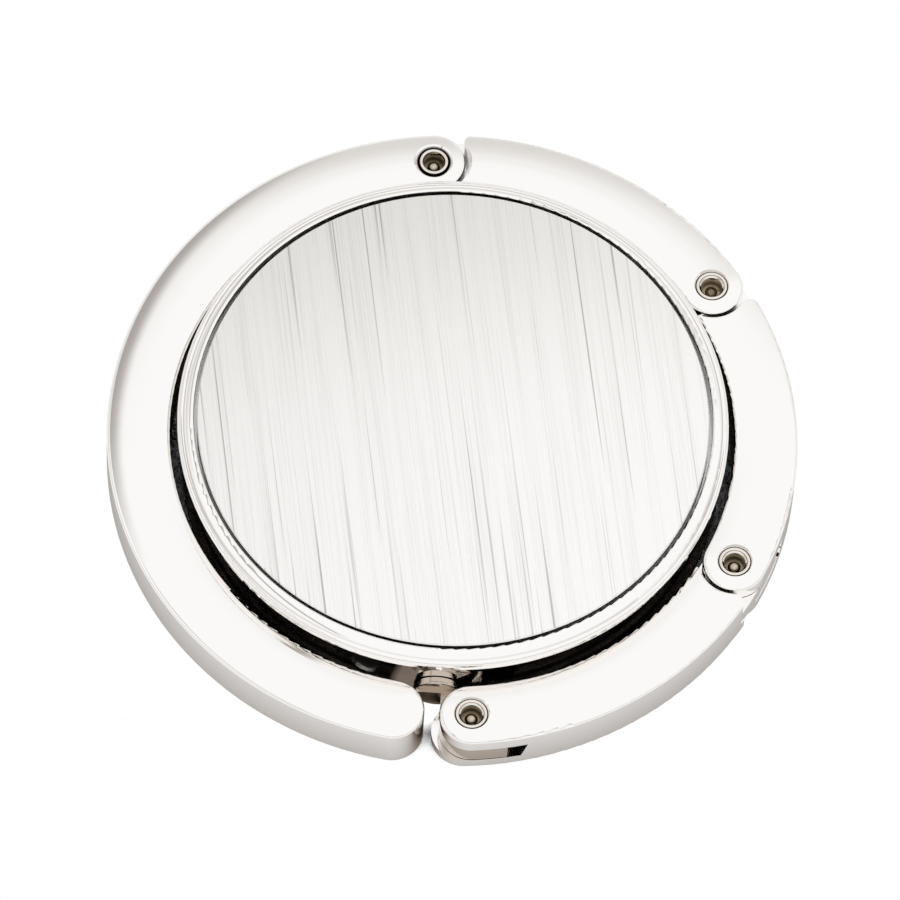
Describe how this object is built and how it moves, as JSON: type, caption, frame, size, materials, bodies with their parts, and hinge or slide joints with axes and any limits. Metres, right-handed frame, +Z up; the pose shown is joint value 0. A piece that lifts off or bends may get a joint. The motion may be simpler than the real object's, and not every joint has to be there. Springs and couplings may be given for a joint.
{
  "type": "folding bag hook",
  "caption": "Round folding bag hook: a rubber-footed disc with a brushed top, ringed by riveted links that unfold into a hanging hook.",
  "frame": {"origin": "centre of the rubber pad's rest face", "axes": "+Z up out of the brushed plate, -Y along the swivel post that carries the ring"},
  "size_m": [0.045, 0.0449, 0.0068],
  "materials": {
    "plated_casting": "polished nickel-chrome plate on cast zinc",
    "plated_steel": "bright plate on turned steel",
    "rivet_steel": "bright nickel plate on steel",
    "brushed_aluminium": "straight brushed, clear coated",
    "adhesive_film": "double-sided film",
    "base_steel": "zinc-plated sheet",
    "pad_rubber": "matt, fine grain",
    "spring_steel": "oiled spring steel",
    "magnet_nickel": "nickel-plated",
    "slug_steel": "turned mild steel"
  },
  "bodies": {
    "tray": {"tray_casting": "plated_casting", "inlay_plate": "brushed_aluminium", "inlay_adhesive": "adhesive_film", "base_plate": "base_steel", "pad_adhesive": "adhesive_film", "base_pad": "pad_rubber", "swivel_washer": "spring_steel", "tray_magnet": "magnet_nickel"},
    "post": {"swivel_post": "plated_steel", "swivel_clip": "spring_steel"},
    "first_link": {"link_1": "plated_casting", "rivet_1": "rivet_steel"},
    "second_link": {"link_2": "plated_casting", "rivet_2": "rivet_steel"},
    "third_link": {"link_3": "plated_casting", "rivet_3": "rivet_steel"},
    "arm": {"hook_arm": "plated_casting", "tip_slug": "slug_steel", "rivet_4": "rivet_steel"}
  },
  "joints": [
    {"name": "post_swivel", "type": "hinge", "parent": "tray", "child": "post", "pos_m": [0, -0.01762, 0.0026], "axis": [0, 1, 0], "continuous": true},
    {"name": "first_hinge", "type": "hinge", "parent": "post", "child": "first_link", "pos_m": [0.00231, -0.0203, 0.0026], "axis": [0, 0, -1], "range_deg": [0, 40]},
    {"name": "second_hinge", "type": "hinge", "parent": "first_link", "child": "second_link", "pos_m": [0.01873, -0.00814, 0.0026], "axis": [0, 0, -1], "range_deg": [0, 9]},
    {"name": "third_hinge", "type": "hinge", "parent": "second_link", "child": "third_link", "pos_m": [0.01642, 0.01215, 0.0026], "axis": [0, 0, -1], "range_deg": [0, 13.5]},
    {"name": "arm_hinge", "type": "hinge", "parent": "third_link", "child": "arm", "pos_m": [-0.00231, 0.0203, 0.0026], "axis": [0, 0, -1], "range_deg": [0, 90]}
  ],
  "couplings": [
    {"joint": "second_hinge", "follows": "first_hinge", "ratio": 0.225},
    {"joint": "third_hinge", "follows": "first_hinge", "ratio": 0.3375},
    {"joint": "arm_hinge", "follows": "first_hinge", "ratio": 2.25}
  ]
}
